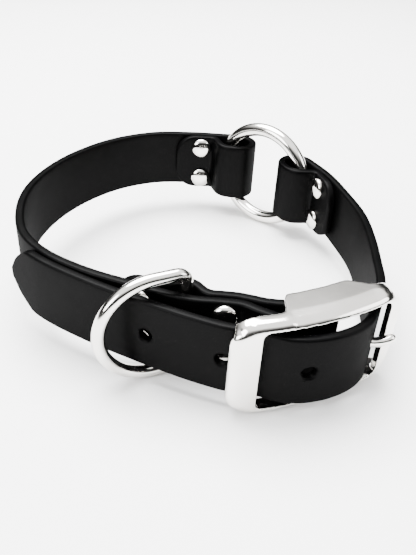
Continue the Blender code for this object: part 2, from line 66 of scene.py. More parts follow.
def nothing_selected():
    """Leaves edit mode and lets go of every object."""
    if bpy.context.mode != "OBJECT":
        bpy.ops.object.mode_set(mode="OBJECT")
    bpy.ops.object.select_all(action="DESELECT")


nothing_selected()
bpy.ops.object.camera_add()
camera = bpy.context.object
camera.name = "camera"
camera.data.lens = 40.2
camera.data.sensor_width = 36
camera.data.clip_start = 0.01
camera.matrix_world = collar_place @ view_place
bpy.context.scene.camera = camera

# Buckle strap
# A 25 mm belt of webbing with a smooth black coating and softly rounded edges. It runs from the O-ring
# round the back, the left side and the front, and is folded back and riveted at both ends.
strap_width = 25.4 * mm
strap_thickness = 3.2 * mm
layer_gap = 0.4 * mm
loop_half_width = 64.4 * mm
loop_back = 69.7 * mm
loop_front = 59.0 * mm
flap_end_radius = 9.0 * mm
path_spacing = 0.7 * mm
heading_step = 1.0 * mm
span_steps = 16
fold_steps = 24


def point(x, y):
    return np.array([x, y], float)


def heading(angle):
    return point(math.cos(angle), math.sin(angle))


def left_of(direction):
    return point(-direction[1], direction[0])


def lengths(path):
    steps = np.linalg.norm(np.diff(path, axis=0), axis=1)
    return np.concatenate([[0.0], np.cumsum(steps)])


def at_length(path, length):
    """The place and the direction of a path at a length along it."""
    along = lengths(path)
    place = point(*[np.interp(length, along, path[:, axis]) for axis in (0, 1)])
    near = [np.interp(np.clip(length + step, 0, along[-1]), along, path[:, axis])
            for step in (-heading_step, heading_step) for axis in (0, 1)]
    direction = point(near[2] - near[0], near[3] - near[1])
    return place, direction / np.linalg.norm(direction)


def smooth(points, spacing):
    """A smooth curve through the points, with a point about every spacing."""
    points = np.array(points)
    along = lengths(points)
    slopes = np.gradient(points, along, axis=0)
    fine = []
    for start in range(len(points) - 1):
        run = along[start + 1] - along[start]
        for share in np.linspace(0, 1, span_steps, endpoint=False):
            square = share * share
            cube = square * share
            fine.append((2 * cube - 3 * square + 1) * points[start]
                        + (cube - 2 * square + share) * run * slopes[start]
                        + (3 * square - 2 * cube) * points[start + 1]
                        + (cube - square) * run * slopes[start + 1])
    fine = np.array(fine + [points[-1]])
    along = lengths(fine)
    wanted = np.linspace(0, along[-1], round(along[-1] / spacing) + 1)
    return np.column_stack([np.interp(wanted, along, fine[:, axis]) for axis in (0, 1)])


def fade(share):
    """From 1 at a share of 0 to 0 at a share of 1, level at both ends."""
    share = min(max(share, 0.0), 1.0)
    return 1 - share * share * (3 - 2 * share)


def eased(start, end, before, after):
    """Stations along a stretch of a flap where its extra width changes from one value to another."""
    return [(start + share * (end - start), after + (before - after) * fade(share))
            for share in (0.25, 0.5, 0.75, 1.0)]


def folded_flap(main, side, fold_radius, flap_length, stations):
    """The fold at the end of a main path and the flap that comes back along it."""
    total = lengths(main)[-1]
    place, direction = at_length(main, total)
    middle = place + side * fold_radius * left_of(direction)
    arc = []
    for step in range(1, fold_steps):
        angle = math.pi * step / fold_steps
        arc.append(middle - side * fold_radius * math.cos(angle) * left_of(direction)
                   + fold_radius * math.sin(angle) * direction)
    flap = [place + side * 2 * fold_radius * left_of(direction)]
    for back, extra in stations + eased(stations[-1][0], flap_length, 0.0, 0.0):
        place, direction = at_length(main, total - back)
        flap.append(place + side * (strap_thickness + layer_gap + extra) * left_of(direction))
    return np.array(arc), smooth(flap, path_spacing)


ring_radius = 20.9 * mm
ring_wire_radius = 2.8 * mm
ring_lift = 1.5 * mm
ring_clearance = 0.8 * mm
ring_turn = math.radians(-36)
ring_middle = point(0.4534 * loop_half_width, 0.7532 * loop_back)
ring_line = heading(ring_turn)
ring_near = math.sqrt(ring_radius**2 - (strap_width / 2 + ring_lift) ** 2)


def ring_fold(side, strap_heading):
    """The fold at one side of the O-ring: its middle, the strap's heading there and the fold's radius."""
    direction = heading(strap_heading)
    across = left_of(direction)
    far_wire = ring_middle + side * ring_radius * ring_line
    near_wire = ring_middle + side * ring_near * ring_line
    spread = abs(np.dot(far_wire - near_wire, across)) / 2
    radius = spread + ring_wire_radius + ring_clearance + strap_thickness / 2
    middle = (np.dot(far_wire + near_wire, across) / 2) * across + np.dot(near_wire, direction) * direction
    return middle, direction, radius


buckle_length = 57.0 * mm
bar_thickness = 2.6 * mm
frame_rise = 1.0 * mm
frame_bow = 4.2 * mm
tip_bar_edge = -19.9 * mm
far_bar_edge = 22.3 * mm
buckle_middle = point(0.6475 * loop_half_width, -1.0932 * loop_front)
buckle_turn = math.radians(25)
buckle_along = heading(buckle_turn)
buckle_out = -left_of(buckle_along)


def by_buckle(along, out):
    return buckle_middle + along * buckle_along + out * buckle_out


def frame_front(along):
    """How far out the bowed front of the buckle's frame lies."""
    return frame_rise + frame_bow * (1 - (2 * along / buckle_length) ** 2)


centre_bar_radius = 2.7 * mm
centre_bar_along = 2.5 * mm
centre_bar_out = -6.2 * mm
centre_bar = by_buckle(centre_bar_along, centre_bar_out)
bar_clearance = 0.45 * mm
bar_fold_radius = centre_bar_radius + bar_clearance + strap_thickness / 2
left_strap_turn = math.radians(-3)
left_middle, left_heading, left_radius = ring_fold(-1, left_strap_turn)

# Shares of the loop's half width, and of its depth to the back or to the front
back_and_left = ((-0.080, 1.000), (-0.320, 0.968), (-0.570, 0.845), (-0.785, 0.631), (-0.935, 0.365),
                 (-1.000, 0.072), (-0.975, -0.160))
left_and_front = ((-0.880, 0.458), (-0.722, 0.640), (-0.520, 0.772), (-0.217, 0.896), (0.060, 0.985),
                  (0.195, 0.990), (0.280, 1.000), (0.360, 1.045), (0.440, 1.085))
# Fold radii before the centre bar at which the strap already lies straight along the buckle
bar_run_in = (2.0, 0.6, 0.0)
main_points = [left_middle + left_radius * left_of(left_heading)]
main_points += [point(across * loop_half_width, back * loop_back) for across, back in back_and_left]
main_points += [point(across * loop_half_width, -front * loop_front) for across, front in left_and_front]
for before in bar_run_in:
    main_points.append(centre_bar + bar_fold_radius * (buckle_out - before * buckle_along))
buckle_main = smooth(main_points, path_spacing)
buckle_main_length = lengths(buckle_main)[-1]

rivet_head_radius = 4.4 * mm
rivet_head_room = 1.2 * mm
rivet_back_radius = 3.5 * mm
rivet_back_room = 0.7 * mm
rivet_flat = rivet_head_radius + rivet_head_room
ring_rivet_from_fold = 17.0 * mm
ring_flap_length = 29.5 * mm
rivet_from_bar = 33.0 * mm
bar_flap_length = 71.0 * mm
dee_wire_radius = 2.15 * mm
dee_clearance = 0.4 * mm
dee_pocket_half = 1.0 * mm
dee_from_bar = 46.5 * mm
rivet_past_dee = 13.5 * mm
behind_dee = dee_from_bar + rivet_past_dee
# Shares of the stretch from a fold to its first rivets, and of the fold's opening that is left there
ring_closing = ((0.36, 0.96), (0.60, 0.80), (0.77, 0.46), (0.91, 0.09), (1.0, 0.0))
bar_closing = ((0.50, 0.95), (0.78, 0.27), (1.0, 0.0))


def closing(fold_radius, end, shares):
    """Stations over which a flap closes from its fold's full opening onto the main strap."""
    opening = 2 * fold_radius - strap_thickness - layer_gap
    return [(along * end, share * opening) for along, share in shares]


dee_width = 2 * dee_wire_radius + 2 * dee_clearance - layer_gap
behind_rivet = rivet_from_bar + rivet_back_radius + rivet_back_room
before_rivet = behind_dee - rivet_back_radius - rivet_back_room
bar_stations = closing(bar_fold_radius, rivet_from_bar - rivet_flat, bar_closing)
bar_stations += eased(rivet_from_bar - rivet_flat, behind_rivet, 0.0, 0.0)
bar_stations += eased(behind_rivet, dee_from_bar - dee_pocket_half, 0.0, dee_width)
bar_stations += eased(dee_from_bar + dee_pocket_half, before_rivet, dee_width, 0.0)
ring_stations = closing(left_radius, ring_rivet_from_fold - rivet_flat, ring_closing)
ring_arc, ring_flap = folded_flap(buckle_main[::-1], -1, left_radius, ring_flap_length, ring_stations)
bar_arc, bar_flap = folded_flap(buckle_main, 1, bar_fold_radius, bar_flap_length, bar_stations)
buckle_path = np.concatenate([ring_flap[::-1], ring_arc[::-1], buckle_main, bar_arc, bar_flap])
bar_start = lengths(np.concatenate([ring_flap[::-1], ring_arc[::-1], buckle_main]))[-1]
bar_turned = bar_start + math.pi * bar_fold_radius


def alone(piece):
    """Only this piece is selected and active."""
    nothing_selected()
    piece.select_set(True)
    bpy.context.view_layer.objects.active = piece


def started(name, size, middle=(0, 0, 0)):
    """A block of this size, ready to be cut to shape."""
    nothing_selected()
    bpy.ops.mesh.primitive_cube_add(size=1, location=middle)
    block = bpy.context.object
    block.name = name
    block.scale = size
    bpy.ops.object.transform_apply(location=True, rotation=False, scale=True)
    return block


def pick_edges(piece, wanted):
    """Edit mode with just the edges selected whose two ends the test wants."""
    alone(piece)
    bpy.ops.object.mode_set(mode="EDIT")
    bpy.ops.mesh.select_mode(type="EDGE")
    bpy.ops.mesh.select_all(action="DESELECT")
    bpy.ops.object.mode_set(mode="OBJECT")
    corners = piece.data.vertices
    for edge in piece.data.edges:
        edge.select = bool(wanted(corners[edge.vertices[0]].co, corners[edge.vertices[1]].co))
    bpy.ops.object.mode_set(mode="EDIT")


def cut_away(piece, cutter):
    """Takes the cutter's shape out of the piece."""
    alone(piece)
    bpy.ops.object.modifier_add(type="BOOLEAN")
    made = piece.modifiers[-1]
    made.operation = "DIFFERENCE"
    made.solver = "EXACT"
    made.object = cutter
    bpy.ops.object.modifier_apply(modifier=made.name)
    bpy.data.objects.remove(cutter)


def soft_edges(piece, width, steps, sharpest):
    """Rounds the edges that are sharper than this many degrees."""
    alone(piece)
    bpy.ops.object.modifier_add(type="BEVEL")
    made = piece.modifiers[-1]
    made.width = width
    made.segments = steps
    made.limit_method = "ANGLE"
    made.angle_limit = math.radians(sharpest)
    made.use_clamp_overlap = False
    bpy.ops.object.modifier_apply(modifier=made.name)


def sliced(piece, axis, places):
    """Cuts across the piece at these places along an axis, so that it can bend there."""
    alone(piece)
    normal = [0, 0, 0]
    normal[axis] = 1
    bpy.ops.object.mode_set(mode="EDIT")
    for place in places:
        spot = [0, 0, 0]
        spot[axis] = place
        bpy.ops.mesh.select_all(action="SELECT")
        bpy.ops.mesh.bisect(plane_co=spot, plane_no=normal)
    bpy.ops.object.mode_set(mode="OBJECT")


nearly = 0.1 * mm


def across_end(x):
    """Tells the edges through the strap's thickness at one end of its blank."""
    return lambda a, b: max(abs(a.x - x), abs(b.x - x), abs(a.z - b.z)) < nearly


def laid_along(piece, path):
    """Bends a flat blank along a path in plan, the blank's x along it."""
    line = bpy.data.curves.new(piece.name + "_line", "CURVE")
    line.dimensions = "3D"
    line.twist_mode = "Z_UP"
    spline = line.splines.new("POLY")
    spline.points.add(len(path) - 1)
    for vertex, (x, y) in zip(spline.points, path):
        vertex.co = (x, y, 0, 1)
    guide = bpy.data.objects.new(piece.name + "_guide", line)
    bpy.context.scene.collection.objects.link(guide)
    alone(piece)
    bpy.ops.object.modifier_add(type="CURVE")
    made = piece.modifiers[-1]
    made.object = guide
    made.deform_axis = "POS_X"
    bpy.ops.object.modifier_apply(modifier=made.name)
    bpy.data.objects.remove(guide)


smooth_below = math.radians(40)


def set_down(piece, node, body, finish):
    """Puts a finished piece in the collar's place, in the stead of its solid."""
    alone(piece)
    piece.matrix_world = collar_place @ piece.matrix_world
    bpy.ops.object.transform_apply(location=True, rotation=True, scale=True)
    piece.data.materials.clear()
    piece.data.materials.append(finish)
    bpy.ops.object.shade_smooth_by_angle(angle=smooth_below)
    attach(piece, body)
    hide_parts(node)


def node_at(finish, kind, x, y, **values):
    """A new node of a material, at a place in its tree, with its inputs set by name."""
    made = finish.node_tree.nodes.new(kind)
    made.location = (x, y)
    for name, value in values.items():
        made.inputs[name.replace("_", " ")].default_value = value
    return made


black_coating = bpy.data.materials.new("coated_webbing")
black_coating.use_nodes = True
shader = black_coating.node_tree.nodes["Principled BSDF"]
shader.inputs["Specular IOR Level"].default_value = 0.0
shader.inputs["Coat Weight"].default_value = 0.07
shader.inputs["Coat Roughness"].default_value = 0.36
join = black_coating.node_tree.links.new
pattern_place = node_at(black_coating, "ShaderNodeTexCoord", -1200, 0)
tone = node_at(black_coating, "ShaderNodeTexNoise", -900, 300, Scale=38.0, Detail=4.0, Roughness=0.6)
tones = node_at(black_coating, "ShaderNodeValToRGB", -600, 300)
tones.color_ramp.elements[0].position = 0.35
tones.color_ramp.elements[0].color = (0.0006, 0.0006, 0.0007, 1)
tones.color_ramp.elements[1].position = 0.70
tones.color_ramp.elements[1].color = (0.0012, 0.0012, 0.0012, 1)
rubbed = node_at(black_coating, "ShaderNodeTexNoise", -900, 0, Scale=210.0, Detail=5.0, Roughness=0.65)
rubbing = node_at(black_coating, "ShaderNodeMapRange", -600, 0, From_Min=0.3, From_Max=0.7,
                  To_Min=0.40, To_Max=0.58)
grain = node_at(black_coating, "ShaderNodeTexNoise", -900, -300, Scale=1500.0, Detail=3.0, Roughness=0.6)
grain_bump = node_at(black_coating, "ShaderNodeBump", -300, -300, Strength=0.30, Distance=0.00012)
lie = node_at(black_coating, "ShaderNodeTexNoise", -900, -600, Scale=85.0, Detail=2.0, Roughness=0.5)
lie_bump = node_at(black_coating, "ShaderNodeBump", -600, -600, Strength=0.5, Distance=0.0006)
for texture in (tone, rubbed, grain, lie):
    join(pattern_place.outputs["Object"], texture.inputs["Vector"])
join(tone.outputs["Fac"], tones.inputs["Fac"])
join(tones.outputs["Color"], shader.inputs["Base Color"])
join(rubbed.outputs["Fac"], rubbing.inputs["Value"])
join(rubbing.outputs["Result"], shader.inputs["Roughness"])
join(lie.outputs["Fac"], lie_bump.inputs["Height"])
join(grain.outputs["Fac"], grain_bump.inputs["Height"])
join(lie_bump.outputs["Normal"], grain_bump.inputs["Normal"])
join(grain_bump.outputs["Normal"], shader.inputs["Normal"])
join(grain_bump.outputs["Normal"], shader.inputs["Coat Normal"])

end_trim = 0.4 * mm
end_steps = 12
strap_end = lengths(buckle_path)[-1]
buckle_strap = started("buckle_strap_piece", (strap_end - 2 * end_trim, strap_thickness, strap_width),
                       (strap_end / 2, 0, 0))
for end in (end_trim, strap_end - end_trim):
    pick_edges(buckle_strap, across_end(end))
    bpy.ops.mesh.bevel(offset=flap_end_radius, segments=end_steps)
prong_loop_radius = 4.8 * mm
slot_past_fold = 1.2 * prong_loop_radius
slot_width = 6.6 * mm
slot_corner = 2.6 * mm
slot_start = bar_start - slot_past_fold
slot_end = bar_turned + slot_past_fold
slot = started("prong_slot", (slot_end - slot_start, 3 * strap_thickness, slot_width),
               ((slot_start + slot_end) / 2, 0, 0))
pick_edges(slot, lambda a, b: abs(a.y - b.y) > strap_thickness)
bpy.ops.mesh.bevel(offset=slot_corner, segments=6)
cut_away(buckle_strap, slot)
edge_radius = 0.95 * mm
edge_steps = 4
edge_sharpness = 50
soft_edges(buckle_strap, edge_radius, edge_steps, edge_sharpness)
height_cuts = np.arange(-10, 10.1, 2.5) * mm
bend_spacing = 1.0 * mm
before_fold = 1.5 * mm
after_fold = 2.0 * mm
sliced(buckle_strap, 2, height_cuts)
sliced(buckle_strap, 0, np.arange(bend_spacing, strap_end, bend_spacing))
sliced(buckle_strap, 0, np.arange(bar_start - before_fold, bar_turned + after_fold, bend_spacing))
laid_along(buckle_strap, buckle_path)
set_down(buckle_strap, "buckle_strap", "straps_and_buckle", black_coating)

# Tail strap
# The same coated belt. It is folded round the other side of the O-ring, runs down the right side, passes
# behind the buckle's two end bars, bulging through its window, and lies along the front with its row of
# punched holes.
right_strap_turn = math.radians(-62)
right_middle, right_heading, right_radius = ring_fold(1, right_strap_turn)
# Shares of the loop's half width and of its depth to the back
right_side = ((0.850, 0.500), (0.935, 0.250), (0.995, 0.000), (1.003, -0.220), (0.992, -0.420),
              (0.968, -0.640))
# Lengths back from the centre bar, and the gaps to the buckle strap's outer face there
lap = ((38.0 * mm, 6.8 * mm), (59.0 * mm, 3.0 * mm), (79.0 * mm, 0.9 * mm), (95.0 * mm, 0.5 * mm),
       (111.0 * mm, 2.2 * mm))
window_bulge = 7.4 * mm
tail_clearance = 0.8 * mm
tail_leaving = 1.86 * mm
tip_end_clearance = 4.2 * mm


def behind_frame(along, clear):
    """The middle of a strap that passes behind one of the frame's bars, this far clear of it."""
    return by_buckle(along, frame_front(along) - bar_thickness - clear - strap_thickness / 2)


tail_points = [right_middle + right_radius * left_of(right_heading)]
tail_points += [point(across * loop_half_width, back * loop_back) for across, back in right_side]
tail_points.append(behind_frame(far_bar_edge - tail_leaving, tail_clearance))
tail_points.append(by_buckle(0.55 * far_bar_edge, 0.68 * window_bulge))
tail_points.append(by_buckle(0.0, window_bulge))
tail_points.append(by_buckle(0.62 * tip_bar_edge, 0.60 * window_bulge))
tail_points.append(behind_frame(tip_bar_edge, tail_clearance))
tail_points.append(behind_frame(-0.5 * buckle_length, tip_end_clearance))
for from_bar, gap in lap:
    place, direction = at_length(buckle_main, buckle_main_length - from_bar)
    tail_points.append(place - (strap_thickness + gap) * left_of(direction))
tail_main = smooth(tail_points, path_spacing)
right_stations = closing(right_radius, ring_rivet_from_fold - rivet_flat, ring_closing)
right_arc, right_flap = folded_flap(tail_main[::-1], 1, right_radius, ring_flap_length, right_stations)
tail_path = np.concatenate([right_flap[::-1], right_arc[::-1], tail_main])
tail_end = lengths(tail_path)[-1]
tail_main_start = tail_end - lengths(tail_main)[-1]

prong_above_bar = 1.9 * mm
prong_under_tail = -1.55 * mm
prong_past_edge = 2.79 * mm
rest_out = frame_front(far_bar_edge) + prong_above_bar
prong_course = (
    (centre_bar_along + 0.85 * prong_loop_radius, centre_bar_out + 0.25 * prong_loop_radius),
    (0.50 * far_bar_edge, prong_under_tail),
    (0.76 * far_bar_edge, 0.35 * rest_out),
    (far_bar_edge, rest_out),
    (far_bar_edge + prong_past_edge, rest_out),
)
prong_path = smooth([by_buckle(along, out) for along, out in prong_course], path_spacing)
prong_length = lengths(prong_path)
past_fold = prong_length[-1] / 3
out_of_reach = 1.0
to_tail = [min(np.linalg.norm(tail_main - spot, axis=1)) if length > past_fold else out_of_reach
           for spot, length in zip(prong_path, prong_length)]
prong_hole = prong_path[np.argmin(to_tail)]
first_hole = lengths(tail_main)[np.argmin(np.linalg.norm(tail_main - prong_hole, axis=1))]

tip_length = 11.0 * mm
tip_shoulder = 0.60 * tip_length
tip_slope = 0.34 * tip_length
tip_shoulder_half = 7.7 * mm
tip_point_half = 1.6 * mm
tip_corner = 2.0 * mm
tip_shoulder_corner = 3.0 * mm
body_end = tail_end - tip_length
tail_strap = started("tail_strap_piece", (body_end - end_trim, strap_thickness, strap_width),
                     ((body_end + end_trim) / 2, 0, 0))
pick_edges(tail_strap, lambda a, b: min(a.x, b.x) > body_end - nearly)
bpy.ops.mesh.select_mode(type="FACE")
bpy.ops.mesh.extrude_region_move(TRANSFORM_OT_translate={"value": (tip_shoulder, 0, 0)})
bpy.ops.transform.resize(value=(1, 1, 2 * tip_shoulder_half / strap_width))
bpy.ops.mesh.extrude_region_move(TRANSFORM_OT_translate={"value": (tip_slope, 0, 0)})
bpy.ops.transform.resize(value=(1, 1, tip_point_half / tip_shoulder_half))
pick_edges(tail_strap, across_end(body_end))
bpy.ops.mesh.bevel(offset=tip_corner, segments=4)
pick_edges(tail_strap, across_end(body_end + tip_shoulder))
bpy.ops.mesh.bevel(offset=tip_shoulder_corner, segments=5)
pick_edges(tail_strap, across_end(end_trim))
bpy.ops.mesh.bevel(offset=flap_end_radius, segments=end_steps)
hole_count = 4
hole_radius = 2.2 * mm
hole_pitch = 25.4 * mm
for number in range(hole_count):
    hole_place = tail_main_start + first_hole + number * hole_pitch
    nothing_selected()
    bpy.ops.mesh.primitive_cylinder_add(vertices=32, radius=hole_radius, depth=4 * strap_thickness,
                                        rotation=(math.pi / 2, 0, 0), location=(hole_place, 0, 0))
    cut_away(tail_strap, bpy.context.object)
soft_edges(tail_strap, edge_radius, edge_steps, edge_sharpness)
sliced(tail_strap, 2, height_cuts)
sliced(tail_strap, 0, np.arange(bend_spacing, tail_end, bend_spacing))
laid_along(tail_strap, tail_path)
set_down(tail_strap, "tail_strap", "straps_and_buckle", black_coating)

# Rivets
# Domed caps of plated steel with small flatter caps on the other side, pressed together through both
# layers of strap, in pairs one above the other. The domes face the front: inwards at the O-ring, outwards
# by the buckle.
nickel = bpy.data.materials.new("nickel_plate")
nickel.use_nodes = True
shader = nickel.node_tree.nodes["Principled BSDF"]
shader.inputs["Metallic"].default_value = 1.0
join = nickel.node_tree.links.new
pattern_place = node_at(nickel, "ShaderNodeTexCoord", -1200, 0)
tone = node_at(nickel, "ShaderNodeTexNoise", -900, 300, Scale=55.0, Detail=3.0, Roughness=0.5)
tones = node_at(nickel, "ShaderNodeValToRGB", -600, 300)
tones.color_ramp.elements[0].position = 0.35
tones.color_ramp.elements[0].color = (0.72, 0.70, 0.665, 1)
tones.color_ramp.elements[1].position = 0.65
tones.color_ramp.elements[1].color = (0.82, 0.80, 0.77, 1)
haze = node_at(nickel, "ShaderNodeTexNoise", -900, 0, Scale=120.0, Detail=5.0, Roughness=0.6)
hazing = node_at(nickel, "ShaderNodeMapRange", -600, 0, From_Min=0.3, From_Max=0.7, To_Min=0.07, To_Max=0.17)
scuff = node_at(nickel, "ShaderNodeTexNoise", -900, -300, Scale=420.0, Detail=4.0, Roughness=0.55)
scuff_bump = node_at(nickel, "ShaderNodeBump", -300, -300, Strength=0.12, Distance=0.00005)
for texture in (tone, haze, scuff):
    join(pattern_place.outputs["Object"], texture.inputs["Vector"])
join(tone.outputs["Fac"], tones.inputs["Fac"])
join(tones.outputs["Color"], shader.inputs["Base Color"])
join(haze.outputs["Fac"], hazing.inputs["Value"])
join(hazing.outputs["Result"], shader.inputs["Roughness"])
join(scuff.outputs["Fac"], scuff_bump.inputs["Height"])
join(scuff_bump.outputs["Normal"], shader.inputs["Normal"])

both_layers = 2 * strap_thickness + layer_gap
cap_bite = 0.1 * mm
cap_rim = 0.7 * mm
cap_rise = 1.9 * mm
back_rise = 0.8 * mm
rivet_height = 7.4 * mm
# The share of one crown step by which a crown stays flat at its top
crown_flat = 0.4


def pressed_cap(radius, foot, rim, rise, crown_steps):
    """A round cap with a straight rim and a domed crown, made upwards from its foot."""
    nothing_selected()
    bpy.ops.mesh.primitive_cylinder_add(vertices=48, radius=radius, depth=rim,
                                        location=(0, 0, foot + rim / 2))
    cap = bpy.context.object
    bpy.ops.object.transform_apply(location=True, rotation=False, scale=False)
    pick_edges(cap, lambda a, b: min(a.z, b.z) > foot + 0.5 * rim)
    bpy.ops.mesh.select_mode(type="FACE")
    for step in range(1, crown_steps + 1):
        before = math.pi / 2 * (step - 1) / (crown_steps + crown_flat)
        after = math.pi / 2 * step / (crown_steps + crown_flat)
        up = rise * (math.sin(after) - math.sin(before))
        bpy.ops.mesh.extrude_region_move(TRANSFORM_OT_translate={"value": (0, 0, up)})
        shrink = math.cos(after) / math.cos(before)
        bpy.ops.transform.resize(value=(shrink, shrink, 1))
    bpy.ops.object.mode_set(mode="OBJECT")
    return cap


cap_foot = both_layers / 2 - cap_bite
cap = pressed_cap(rivet_head_radius, cap_foot, cap_rim, cap_rise, 9)
back = pressed_cap(rivet_back_radius, cap_foot, cap_rim, back_rise, 5)
back.matrix_world = Matrix.Rotation(math.pi, 4, "X")
alone(back)
bpy.ops.object.transform_apply(location=False, rotation=True, scale=False)
cap.select_set(True)
bpy.context.view_layer.objects.active = cap
bpy.ops.object.join()
rivet_pattern = bpy.context.object
rivet_pattern.name = "rivet_pattern"

# Name, path, length back from its end, the side that the flap lies on and the side of the domed cap
rivet_rows = (
    ("left_ring", buckle_main[::-1], ring_rivet_from_fold, -1, -1),
    ("right_ring", tail_main[::-1], ring_rivet_from_fold, 1, 1),
    ("by_buckle", buckle_main, rivet_from_bar, 1, -1),
    ("behind_dee", buckle_main, behind_dee, 1, -1),
)
for name, main, from_end, side, head_side in rivet_rows:
    place, direction = at_length(main, lengths(main)[-1] - from_end)
    middle = place + side * (strap_thickness + layer_gap) / 2 * left_of(direction)
    outward = Vector((*(head_side * left_of(direction)), 0)).to_track_quat("Z", "Y").to_matrix().to_4x4()
    for end, height in (("top", rivet_height), ("bottom", -rivet_height)):
        rivet = rivet_pattern.copy()
        rivet.data = rivet_pattern.data.copy()
        rivet.name = f"rivet_{name}_{end}_piece"
        bpy.context.scene.collection.objects.link(rivet)
        rivet.matrix_world = Matrix.Translation((*middle, height)) @ outward
        set_down(rivet, f"rivet_{name}_{end}", "straps_and_buckle", nickel)
bpy.data.objects.remove(rivet_pattern)


def upright(place, direction, height=0.0):
    """Own x along a direction in plan, own y upwards, own z out of the right-hand side."""
    along = Vector((*direction, 0))
    up = Vector((0, 0, 1))
    turned = Matrix((along, up, along.cross(up))).transposed().to_4x4()
    return Matrix.Translation((*place, height)) @ turned


# O-ring
# A ring of thick round wire, welded shut and plated. Its weld is turned into the left fold.
weld_half = 0.5 * mm
weld_swelling = 1.015
nothing_selected()
bpy.ops.mesh.primitive_torus_add(major_segments=144, minor_segments=40, major_radius=ring_radius,
                                 minor_radius=ring_wire_radius)
o_ring = bpy.context.object
o_ring.name = "o_ring_piece"
pick_edges(o_ring, lambda a, b: max(a.x, b.x) < 0 and max(abs(a.y), abs(b.y)) < weld_half)
bpy.ops.transform.resize(value=(1.0, 1.0, weld_swelling))
bpy.ops.object.mode_set(mode="OBJECT")
o_ring.matrix_world = upright(ring_middle, ring_line, ring_lift)
set_down(o_ring, "o_ring", "o_ring_body", nickel)

# D-ring
# Round wire bent to a D and plated. Its straight bar turns in a pocket between the two layers of the
# buckle strap, with a pair of rivets on either side.
dee_half_height = 18.0 * mm
dee_reach = 28.5 * mm
dee_corner = 3.2 * mm
dee_turn = math.radians(206)
corner_steps = 12
bow_steps = 36
dee_half = []
for step in range(corner_steps + 1):
    angle = math.pi - math.pi / 2 * step / corner_steps
    dee_half.append((dee_corner + dee_corner * math.cos(angle),
                     dee_half_height - dee_corner + dee_corner * math.sin(angle)))
for step in range(bow_steps + 1):
    angle = math.pi / 2 * (1 - step / bow_steps)
    dee_half.append((dee_reach - dee_half_height + dee_half_height * math.cos(angle),
                     dee_half_height * math.sin(angle)))


wire_roundness = 8
weld_distance = 0.01 * mm


def wire(name, places, radius, closed, taper=None):
    """Round wire of this radius through the places, as a mesh."""
    line = bpy.data.curves.new(name, "CURVE")
    line.dimensions = "3D"
    line.bevel_depth = radius
    line.bevel_resolution = wire_roundness
    line.use_fill_caps = True
    spline = line.splines.new("POLY")
    spline.points.add(len(places) - 1)
    for number, (vertex, spot) in enumerate(zip(spline.points, places)):
        vertex.co = (*spot, 1)
        vertex.radius = taper[number] if taper else 1.0
    spline.use_cyclic_u = closed
    made = bpy.data.objects.new(name, line)
    bpy.context.scene.collection.objects.link(made)
    alone(made)
    bpy.ops.object.convert(target="MESH")
    made = bpy.context.object
    bpy.ops.object.mode_set(mode="EDIT")
    bpy.ops.mesh.select_all(action="SELECT")
    bpy.ops.mesh.remove_doubles(threshold=weld_distance)
    bpy.ops.mesh.normals_make_consistent(inside=False)
    bpy.ops.object.mode_set(mode="OBJECT")
    return made


dee_line = [(x, y, 0) for x, y in dee_half + [(x, -y) for x, y in dee_half[-2::-1]]]
d_ring = wire("d_ring_piece", dee_line, dee_wire_radius, True)
dee_place, dee_direction = at_length(buckle_main, buckle_main_length - dee_from_bar)
dee_bar = dee_place + (strap_thickness / 2 + dee_clearance + dee_wire_radius) * left_of(dee_direction)
d_ring.matrix_world = upright(dee_bar, heading(dee_turn))
set_down(d_ring, "d_ring", "d_ring_body", nickel)

# Buckle
# A cast and plated frame with a broad bar at the tip side and a narrow one at the far side. It bows
# outwards, hoods over the strap above and below, and carries the bar that the fold and the prong turn on.
buckle_place = upright(buckle_middle, buckle_along)
buckle_height = 35.4 * mm
window_half = 15.0 * mm
outline_corner = 9.0 * mm
strap_room = 12.9 * mm
hood_slope = 2.6 * mm
tip_stretch = 1.6 * mm
stretch_start = 4.0 * mm
stretch_run = 12.0 * mm
round_width = 3.2 * mm
round_share = 0.62
round_deepest = 5.6 * mm
# The hood's depth at the tip bar, in its middle and at the far bar
tip_depth = 5.4 * mm
middle_depth = 13.6 * mm
far_depth = 7.4 * mm
# Where the hood starts to get shallower towards each bar, and over what length
tip_change = (-8.0 * mm, 4.5 * mm)
far_change = (11.0 * mm, 10.0 * mm)


def from_outline(x, y):
    """How far inside the frame's rounded outline a place lies."""
    over_x = abs(x) - (buckle_length / 2 - outline_corner)
    over_y = abs(y) - (buckle_height / 2 - outline_corner)
    return outline_corner - math.hypot(max(over_x, 0), max(over_y, 0)) - min(max(over_x, over_y), 0)


def hood_depth(x, y):
    """How far back the frame reaches: thin at the two bars, deep where it hoods over the strap's edges."""
    if x < centre_bar_along:
        start, run = tip_change
        deep = tip_depth + (middle_depth - tip_depth) * fade((start - x) / run)
    else:
        start, run = far_change
        deep = far_depth + (middle_depth - far_depth) * fade((x - start) / run)
    return bar_thickness + (deep - bar_thickness) * (1 - fade((abs(y) - strap_room) / hood_slope))


def upright_edges(a, b):
    return abs(a.z - b.z) > bar_thickness / 2


